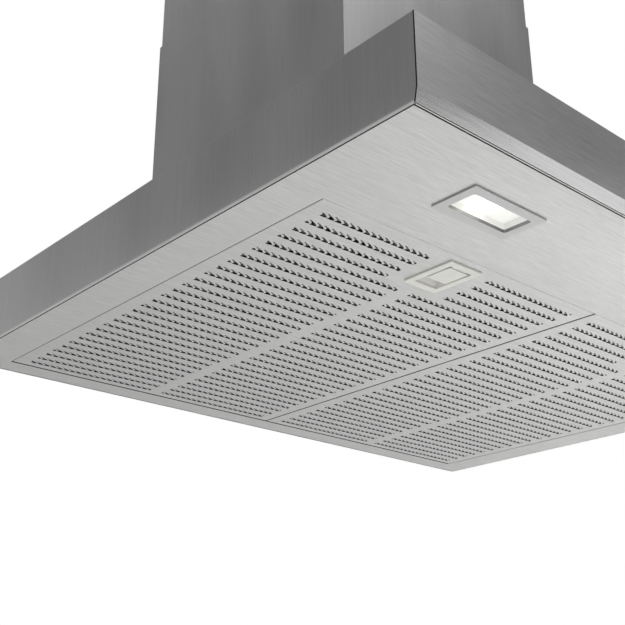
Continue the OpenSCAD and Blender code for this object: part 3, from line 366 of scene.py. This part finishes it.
def tray(side):
    """Pressed tray: pierced face, folded walls with a small edge radius, and rear hooks. Returns
    its corners, its faces with the shaded ones first, and how many get painted shade: the slots'
    walls and the outer walls, painted dark for the shade in the slots and in the gap round the
    tray."""
    def frame_at(inset):
        half, y0, y1 = filter_w / 2 - inset, filter_front + inset, filter_rear - inset
        return [(-half, y0), (half, y0), (half, y1), (-half, y1)]

    holes = filter_slots(side) + [latch_cutout]
    low, low_faces, rings = pierced_sheet(frame_at(fold_r), holes, 0)
    top, top_faces, _ = pierced_sheet(frame_at(filter_t), holes, filter_t)
    shift = len(low)
    corners = low + top
    painted_shade = []
    plain = [f[::-1] for f in low_faces] + [[i + shift for i in f] for f in top_faces]
    for ring in rings[1:]:
        for a, b in zip(ring, ring[1:] + ring[:1]):
            painted_shade.append([b, a, a + shift, b + shift])
    previous = rings[0]
    bands = []
    for i in range(1, fold_steps + 1):
        angle = math.pi / 2 * i / fold_steps
        bands.append((fold_r * (1 - math.sin(angle)), fold_r * (1 - math.cos(angle))))
    for i, (inset, z) in enumerate(bands + [(0, filter_h), (filter_t, filter_h)]):
        ring = list(range(len(corners), len(corners) + 4))
        corners += [(x, y, z) for x, y in frame_at(inset)]
        faces = painted_shade if i in (fold_steps - 1, fold_steps) else plain
        for k in range(4):
            faces.append([previous[k], previous[k - 3], ring[k - 3], ring[k]])
        previous = ring
    inner = [i + shift for i in rings[0]]
    for k in range(4):
        plain.append([previous[k], previous[k - 3], inner[k - 3], inner[k]])
    for middle in (-hook_x, hook_x):
        base, count = len(corners), len(hook_outline)
        for x in (middle - hook_half, middle + hook_half):
            corners += [(x, filter_rear + reach, z) for reach, z in hook_outline]
        plain.append([base + i for i in reversed(range(count))])
        plain.append([base + count + i for i in range(count)])
        for i in range(count):
            a, b = base + i, base + (i + 1) % count
            plain.append([a, b, b + count, a + count])
    return [(side * filter_x + x, y, z) for x, y, z in corners], painted_shade + plain, len(painted_shade)


for side, tail in ((-1, "l"), (1, "r")):
    corners, faces, painted_shade_count = tray(side)
    piece = new_piece("filter_sheet_" + tail, corners, faces, steel_across)
    # The slots' walls and the outer walls get the painted shade of the narrow gaps.
    piece.data.materials.append(gap_shade_steel)
    for polygon in piece.data.polygons[:painted_shade_count]:
        polygon.material_index = 1
    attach(piece, "filter_" + tail)
    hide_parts("filter_face_" + tail)

# Grease mesh: layers of expanded aluminium foil mesh pressed into a pad, held in the tray by a
# flat aluminium frame. From below it is the dark behind the slots: pale strands round open cells
# of 4 by 7 mm, and the deep shade in the cells is painted near black.
aluminium_mesh, tree, shader = new_material("aluminium_foil_mesh_expanded")
place = add(tree, "ShaderNodeTexCoord")
squeeze = add(tree, "ShaderNodeMapping", {"Vector": place.outputs["Object"], "Scale": (0.6, 1, 1)})
cells = add(tree, "ShaderNodeTexVoronoi", {"Vector": squeeze.outputs[0], "Scale": 1 / (4 * mm)},
            feature="DISTANCE_TO_EDGE")
strand_to_painted_cell_shade = add(tree, "ShaderNodeMapRange", {"Value": cells.outputs["Distance"], "From Min": 0.06,
                                          "From Max": 0.2})
tint = add(tree, "ShaderNodeMix", {"Factor": strand_to_painted_cell_shade.outputs[0], "A": linear("#8E9092"),
                                   "B": linear("#1C1C1D")}, data_type="RGBA")
bump = add(tree, "ShaderNodeBump", {"Height": strand_to_painted_cell_shade.outputs[0], "Strength": 0.8,
                                    "Distance": 0.6 * mm}, invert=True)
tree.links.new(tint.outputs["Result"], shader.inputs["Base Color"])
tree.links.new(bump.outputs[0], shader.inputs["Normal"])
shader.inputs["Metallic"].default_value = 0.9
shader.inputs["Roughness"].default_value = 0.5
finish_nodes(aluminium_mesh, "filter_mesh_l", "filter_mesh_r")

# Aluminium sheet as it comes from the rolls: pale, with faint rolling lines, 1.5 of them to a
# millimetre and each 25 mm long.
mill_aluminium, tree, shader = new_material("aluminium_sheet_mill_finish")
place = add(tree, "ShaderNodeTexCoord")
drawn = add(tree, "ShaderNodeMapping", {
    "Vector": place.outputs["Object"], "Scale": (1.5 / mm, 0.04 / mm, 1.5 / mm)})
rolled = add(tree, "ShaderNodeTexNoise", {"Vector": drawn.outputs[0], "Scale": 1, "Detail": 3})
tint = add(tree, "ShaderNodeMix", {"Factor": rolled.outputs["Fac"], "A": linear("#B6B8BA"),
                                   "B": linear("#C6C8C9")}, data_type="RGBA")
rough = add(tree, "ShaderNodeMapRange", {"Value": rolled.outputs["Fac"], "To Min": 0.34,
                                         "To Max": 0.5})
tree.links.new(tint.outputs["Result"], shader.inputs["Base Color"])
tree.links.new(rough.outputs[0], shader.inputs["Roughness"])
shader.inputs["Metallic"].default_value = 1
finish_nodes(mill_aluminium, "filter_back_l", "filter_back_r")


# Filter latches: an injection moulded ABS frame let into the filter face, and a paddle in it
# that a finger pulls down. The moulds leave a fine even texture and soft edges.
def moulded_plastic(name, shade, roughness):
    """Moulded thermoplastic: one colour with faint flow clouds 17 mm wide, and a spark-eroded
    texture of 0.4 mm that takes the gloss off. Darker flow has 7% less light."""
    made, tree, shader = new_material(name)
    place = add(tree, "ShaderNodeTexCoord")
    grain = add(tree, "ShaderNodeTexNoise", {"Vector": place.outputs["Object"],
                                             "Scale": 1 / (0.4 * mm), "Detail": 2})
    flow = add(tree, "ShaderNodeTexNoise", {"Vector": place.outputs["Object"],
                                            "Scale": 0.06 / mm, "Detail": 2})
    darker = [c * 0.93 for c in linear(shade)[:3]] + [1]
    tint = add(tree, "ShaderNodeMix", {"Factor": flow.outputs["Fac"], "A": darker,
                                       "B": linear(shade)}, data_type="RGBA")
    rough = add(tree, "ShaderNodeMapRange", {"Value": grain.outputs["Fac"],
                                             "To Min": roughness - 0.06,
                                             "To Max": roughness + 0.06})
    bump = add(tree, "ShaderNodeBump", {"Height": grain.outputs["Fac"], "Strength": 0.3,
                                        "Distance": 0.05 * mm})
    tree.links.new(tint.outputs["Result"], shader.inputs["Base Color"])
    tree.links.new(rough.outputs[0], shader.inputs["Roughness"])
    tree.links.new(bump.outputs[0], shader.inputs["Normal"])
    shader.inputs["IOR"].default_value = 1.53
    return made


def soften(node, name, body, material, width, segments=2):
    """Copies a node's solid, joins its triangles to flat faces and rounds its sharp edges."""
    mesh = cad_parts[node].data.copy()
    mesh.name = name
    sharp_from = math.radians(30)
    work = bmesh.new()
    work.from_mesh(mesh)
    bmesh.ops.remove_doubles(work, verts=work.verts, dist=1e-6)
    bmesh.ops.dissolve_limit(work, angle_limit=flat_within, verts=work.verts, edges=work.edges)
    sharp = [e for e in work.edges if len(e.link_faces) == 2 and e.calc_face_angle(0) > sharp_from]
    bmesh.ops.bevel(work, geom=sharp, offset=width * mm, segments=segments, profile=0.5,
                    affect="EDGES", clamp_overlap=True)
    for face in work.faces:
        face.smooth = True
    for edge in work.edges:
        edge.smooth = len(edge.link_faces) != 2 or edge.calc_face_angle(0) < sharp_from
    work.to_mesh(mesh)
    work.free()
    mesh.materials.clear()
    mesh.materials.append(material)
    made = bpy.data.objects.new(name, mesh)
    bpy.context.scene.collection.objects.link(made)
    weigh = made.modifiers.new("weigh_normals", "WEIGHTED_NORMAL")
    weigh.keep_sharp = True
    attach(made, body)
    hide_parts(node)
    return made


latch_abs = moulded_plastic("abs_warm_white_moulded", "#F1F1EB", 0.4)
for tail in "lr":
    soften("latch_frame_" + tail, "latch_surround_" + tail, "filter_" + tail,
           latch_abs, 0.25)
    soften("latch_paddle_" + tail, "latch_pull_" + tail, "latch_" + tail,
           latch_abs, 0.25)

# Latch pins and all screws: drawn steel rod, turned or rolled, then zinc plated. Bright, with
# a faint turning pattern of half a millimetre.
bright_steel, tree, shader = new_material("steel_zinc_plated_bright")
place = add(tree, "ShaderNodeTexCoord")
turned = add(tree, "ShaderNodeTexNoise", {"Vector": place.outputs["Object"],
                                          "Scale": 1.8 / mm, "Detail": 3})
tint = add(tree, "ShaderNodeMix", {"Factor": turned.outputs["Fac"], "A": linear("#A9ABAD"),
                                   "B": linear("#CFD1D2")}, data_type="RGBA")
rough = add(tree, "ShaderNodeMapRange", {"Value": turned.outputs["Fac"], "To Min": 0.2,
                                         "To Max": 0.34})
tree.links.new(tint.outputs["Result"], shader.inputs["Base Color"])
tree.links.new(rough.outputs[0], shader.inputs["Roughness"])
shader.inputs["Metallic"].default_value = 1
finish_nodes(bright_steel, "latch_pin_l", "latch_pin_r")


def lathe(profile, steps):
    """Turns a profile of radii and heights about the z axis. Returns corners and faces."""
    corners, faces = [], []
    for radius, height in profile:
        for k in range(steps):
            angle = 2 * math.pi * k / steps
            corners.append((radius * math.cos(angle), radius * math.sin(angle), height))
    for i in range(len(profile) - 1):
        for k in range(steps):
            a, b = i * steps + k, i * steps + (k + 1) % steps
            faces.append([a, b, b + steps, a + steps])
    return corners, faces


def cross_screw(shank_r, shank_l, head_r, head_h):
    """Pan head screw with a cross recess: head upwards, its underside at z = 0."""
    steps, arm, half, deep = 32, 0.62 * head_r, 0.14 * head_r, 0.7 * head_h
    corners, faces = lathe([(shank_r * 0.6, -shank_l), (shank_r, -shank_l + 0.8 * shank_r),
                            (shank_r, 0), (head_r, 0), (head_r, 0.45 * head_h),
                            (0.93 * head_r, 0.8 * head_h), (0.75 * head_r, head_h)], steps)
    faces.insert(0, list(range(steps))[::-1])
    rim = corners[-steps:]
    cross = [(arm, -half), (arm, half), (half, half), (half, arm), (-half, arm), (-half, half),
             (-arm, half), (-arm, -half), (-half, -half), (-half, -arm), (half, -arm),
             (half, -half)]
    _, triangles, rings = pierced_sheet([(x, y) for x, y, _ in rim], [cross], head_h)
    base, shift, count = len(corners) - steps, len(corners), len(cross)
    renumber = {ring: base + i if i < steps else shift + i - steps
                for i, ring in enumerate(sum(rings, []))}
    corners += [(x, y, head_h) for x, y in cross]
    corners += [(x * 0.8, y * 0.8, head_h - deep) for x, y in cross]
    faces += [[renumber[i] for i in triangle] for triangle in triangles]
    for i in range(count):
        a, b = shift + i, shift + (i + 1) % count
        faces.append([a, a + count, b + count, b])
    faces.append([shift + count + i for i in range(count)])
    return corners, faces


def screw_set(name, node, body, spots, turn, sizes):
    """Puts the same screw at several spots and lets it stand for the node's screws. The sizes
    are the shank's radius and length and the head's radius and height."""
    corners, faces = cross_screw(*sizes)
    all_corners, all_faces = [], []
    for spot, spin in spots:
        at = len(all_corners)
        put = Matrix.Translation(spot) @ turn @ Matrix.Rotation(spin, 4, "Z")
        all_corners += [put @ Vector(corner) for corner in corners]
        all_faces += [[at + i for i in face] for face in faces]
    piece = new_piece(name, all_corners, all_faces, bright_steel)
    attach(piece, body)
    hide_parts(node)


upwards, downwards = Matrix.Identity(4), Matrix.Rotation(math.pi, 4, "X")
flange_spots = [(x, y, 53.4) for x in (-78, 78) for y in (-250, -7, -269)]
screw_set("flange_screws", "sheet_screws", "hood",
          [(spot, 0.4 * i) for i, spot in enumerate(flange_spots)], upwards, (2, 6, 4, 2.4))
screw_set("levelling_screws", "hanger_screws", "hood",
          [((x, -23.4, 27.2), 0.3) for x in (-223, 223)], downwards, (3, 24, 5, 3))

# Latch springs: torsion springs of five turns, wound from 0.5 mm steel wire. Each sits round
# its paddle's pin and pushes the paddle back up.
coil_turns, per_turn, wire_r, coil_r = 5, 20, 0.25, 1.4
coil_from, coil_to, pin_y, pin_z = 7.1, 10.1, -380.5, 1.2
for side, tail in ((-1, "l"), (1, "r")):
    path = bpy.data.curves.new("latch_coil_" + tail, "CURVE")
    path.dimensions, path.bevel_depth, path.bevel_resolution = "3D", wire_r * mm, 3
    wire, count = path.splines.new("POLY"), coil_turns * per_turn
    wire.points.add(count)
    for i in range(count + 1):
        angle = 2 * math.pi * i / per_turn
        wire.points[i].co = (
            mm * side * (filter_x + coil_from + (coil_to - coil_from) * i / count),
            mm * (pin_y + coil_r * math.cos(angle)), mm * (pin_z + coil_r * math.sin(angle)), 1)
    path.use_fill_caps = True
    path.materials.append(bright_steel)
    piece = bpy.data.objects.new("latch_coil_" + tail, path)
    bpy.context.scene.collection.objects.link(piece)
    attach(piece, "filter_" + tail)
    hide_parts("latch_spring_" + tail)

# Lamps: a cast and satin anodised aluminium frame let into the strip, a frosted lens in it,
# and a round light source on a small white board that is closed in by a white cap.

# Anodised after bead blasting: an even pale grey. Its pits, three to a millimetre, are too
# shallow to glitter.
satin_aluminium, tree, shader = new_material("aluminium_anodised_satin")
place = add(tree, "ShaderNodeTexCoord")
blast = add(tree, "ShaderNodeTexNoise", {"Vector": place.outputs["Object"],
                                         "Scale": 3 / mm, "Detail": 2})
tint = add(tree, "ShaderNodeMix", {"Factor": blast.outputs["Fac"], "A": linear("#C2C3C4"),
                                   "B": linear("#CDCECE")}, data_type="RGBA")
bump = add(tree, "ShaderNodeBump", {"Height": blast.outputs["Fac"], "Strength": 0.2,
                                    "Distance": 0.03 * mm})
tree.links.new(tint.outputs["Result"], shader.inputs["Base Color"])
tree.links.new(bump.outputs[0], shader.inputs["Normal"])
shader.inputs["Metallic"].default_value = 1
shader.inputs["Roughness"].default_value = 0.42

# The window's walls below the lens are painted dark grey for the shade round the lens's edge,
# with a skin of half a millimetre's grain.
lamp_window_shade_wall, tree, shader = new_material("aluminium_window_wall_painted_shade")
place = add(tree, "ShaderNodeTexCoord")
skin = add(tree, "ShaderNodeTexNoise", {"Vector": place.outputs["Object"],
                                        "Scale": 1.8 / mm, "Detail": 2})
tint = add(tree, "ShaderNodeMix", {"Factor": skin.outputs["Fac"], "A": linear("#7C7C7C"),
                                   "B": linear("#8E8E8E")}, data_type="RGBA")
tree.links.new(tint.outputs["Result"], shader.inputs["Base Color"])
shader.inputs["Metallic"].default_value = 1
shader.inputs["Roughness"].default_value = 0.35

# Frosted polycarbonate, with 0.4 mm frost: it glows faintly all over. Its IOR is far below the
# real 1.58, so that the frost blurs the light source behind it only to a soft oval.
frosted_lens, tree, shader = new_material("polycarbonate_frosted")
place = add(tree, "ShaderNodeTexCoord")
frost = add(tree, "ShaderNodeTexNoise", {"Vector": place.outputs["Object"],
                                         "Scale": 1 / (0.4 * mm), "Detail": 2})
rough = add(tree, "ShaderNodeMapRange", {"Value": frost.outputs["Fac"], "To Min": 0.12,
                                         "To Max": 0.2})
tree.links.new(rough.outputs[0], shader.inputs["Roughness"])
shader.inputs["Base Color"].default_value = linear("#C8C8C6")
shader.inputs["Transmission Weight"].default_value = 1
shader.inputs["IOR"].default_value = 1.08
shader.inputs["Emission Color"].default_value = linear("#FFFFFC")
shader.inputs["Emission Strength"].default_value = 0.26

# Phosphor disc on a white lacquered board: the disc is lit, the board round it only glows.
lamp_x, lamp_y, led_r = 183.2 * mm, -446.6 * mm, 10.5 * mm
light_source, tree, shader = new_material("lamp_source_lit")
place = add(tree, "ShaderNodeTexCoord")
middle = add(tree, "ShaderNodeSeparateXYZ", {0: place.outputs["Object"]})
across = add(tree, "ShaderNodeMath", {0: middle.outputs["X"]}, operation="ABSOLUTE")
across = add(tree, "ShaderNodeMath", {0: across.outputs[0], 1: lamp_x}, operation="SUBTRACT")
deep = add(tree, "ShaderNodeMath", {0: middle.outputs["Y"], 1: lamp_y}, operation="SUBTRACT")
reach = add(tree, "ShaderNodeCombineXYZ", {0: across.outputs[0], 1: deep.outputs[0]})
reach = add(tree, "ShaderNodeVectorMath", {0: reach.outputs[0]}, operation="LENGTH")
lit = add(tree, "ShaderNodeMapRange", {"Value": reach.outputs["Value"], "From Min": led_r * 0.9,
                                       "From Max": led_r * 1.3, "To Min": 2.4, "To Max": 0.3})
tree.links.new(lit.outputs[0], shader.inputs["Emission Strength"])
shader.inputs["Emission Color"].default_value = linear("#FFFEFA")
shader.inputs["Base Color"].default_value = linear("#E8E8E4")

# Behind the lens the frame's walls are lined with the white of the cap, which spreads the light.
white_plastic = moulded_plastic("polycarbonate_white_moulded", "#E6E6E2", 0.45)
window_half_w, window_half_l, window_top = 27.4 * mm, 11.5 * mm, 1.3 * mm
for tail in "lr":
    bezel = soften("lamp_bezel_" + tail, "lamp_frame_" + tail, "hood",
                   satin_aluminium, 0.25)
    bezel.data.materials.append(lamp_window_shade_wall)
    bezel.data.materials.append(white_plastic)
    # Window walls below the lens get the painted shade, the walls behind it the white lining.
    for polygon in bezel.data.polygons:
        x, y, z = polygon.center
        in_window = abs(abs(x) - lamp_x) < window_half_w and abs(y - lamp_y) < window_half_l
        if in_window and abs(polygon.normal.z) < 0.8:
            polygon.material_index = 1 if z < window_top else 2
    soften("lamp_lens_" + tail, "lamp_glass_" + tail, "hood", frosted_lens, 0.2)
    soften("lamp_cap_" + tail, "lamp_cover_" + tail, "hood", white_plastic, 0.8)
finish_nodes(light_source, "lamp_led_l", "lamp_led_r")

# Controls: five round push buttons with satin metal caps, guided by a black moulded box behind
# the front sheet, with a switch board in it.
black_plastic = moulded_plastic("pa66_black_moulded", "#232324", 0.5)
for i in range(1, 6):
    soften(f"button_{i}", f"button_cap_{i}", f"button_{i}", satin_aluminium, 0.5, 3)
soften("control_box", "control_housing", "hood", black_plastic, 0.6)

# Glass cloth laminate under green lacquer: the threads show through it, 1.1 mm apart.
board_green, tree, shader = new_material("fibreglass_board_green_lacquer")
place = add(tree, "ShaderNodeTexCoord")
weave = add(tree, "ShaderNodeTexChecker", {
    "Vector": place.outputs["Object"], "Scale": 0.9 / mm, "Color1": linear("#1E5A3A"),
    "Color2": linear("#216140")})
tree.links.new(weave.outputs["Color"], shader.inputs["Base Color"])
shader.inputs["Roughness"].default_value = 0.35
finish_nodes(board_green, "control_board")

# Chimney: two U-shaped covers of the same steel, brushed upright, one sliding in the other.
# The lower one stands on the canopy on a folded foot. The upper one is screwed to a bracket.
soften("chimney_lower", "chimney_cover_lower", "hood", steel_upright, 0.45, 3)
soften("chimney_upper", "chimney_cover_upper", "chimney_upper", steel_upright,
       0.45, 3)
finish_nodes(zinc_sheet, "chimney_bracket")
for side, tail, spin in ((1, "r", 0.5), (-1, "l", 0.2)):
    screw_set("bracket_screws_" + tail, "chimney_screws", "chimney_upper",
              [((side * 128.7, -15, 615), spin)], Matrix.Rotation(side * math.pi / 2, 4, "Y"),
              (2, 6, 4, 1.2))

# Blower: a galvanised box round a moulded polypropylene scroll and wheel, with the motor on a
# bracket at the scroll's side and its capacitor on the box's wall. A black collar with two flaps
# stands on the box. The cord's gland and terminal box are fixed to the canopy's top sheet.
grey_plastic = moulded_plastic("polypropylene_grey_moulded", "#6E7173", 0.5)
wheel_plastic = moulded_plastic("polypropylene_light_grey_moulded", "#A7A9AA", 0.45)
finish_nodes(zinc_sheet, "blower_box", "motor_bracket", "wheel_plate")
finish_nodes(grey_plastic, "scroll_housing", "inlet_ring_l", "inlet_ring_r", "flap_front",
             "flap_rear")
finish_nodes(wheel_plastic, "wheel")
finish_nodes(bright_steel, "motor_shaft", "flap_pin")
soften("outlet_collar", "duct_collar", "hood", black_plastic, 0.3)
soften("terminal_box", "terminal_housing", "hood", black_plastic, 1.0)
soften("cable_gland", "cord_gland", "hood", black_plastic, 0.4)

# Sprayed lacquer on the motor's drawn can: near black, with an orange peel of 1.4 mm.
motor_lacquer, tree, shader = new_material("steel_can_black_lacquer")
place = add(tree, "ShaderNodeTexCoord")
peel = add(tree, "ShaderNodeTexNoise", {"Vector": place.outputs["Object"],
                                        "Scale": 0.7 / mm, "Detail": 2})
tint = add(tree, "ShaderNodeMix", {"Factor": peel.outputs["Fac"], "A": linear("#2E2F31"),
                                   "B": linear("#36383A")}, data_type="RGBA")
bump = add(tree, "ShaderNodeBump", {"Height": peel.outputs["Fac"], "Strength": 0.25,
                                    "Distance": 0.1 * mm})
tree.links.new(tint.outputs["Result"], shader.inputs["Base Color"])
tree.links.new(bump.outputs[0], shader.inputs["Normal"])
shader.inputs["Roughness"].default_value = 0.35
soften("motor", "motor_can_piece", "hood", motor_lacquer, 1.0, 3)
soften("capacitor", "capacitor_can", "hood", white_plastic, 1.0, 3)
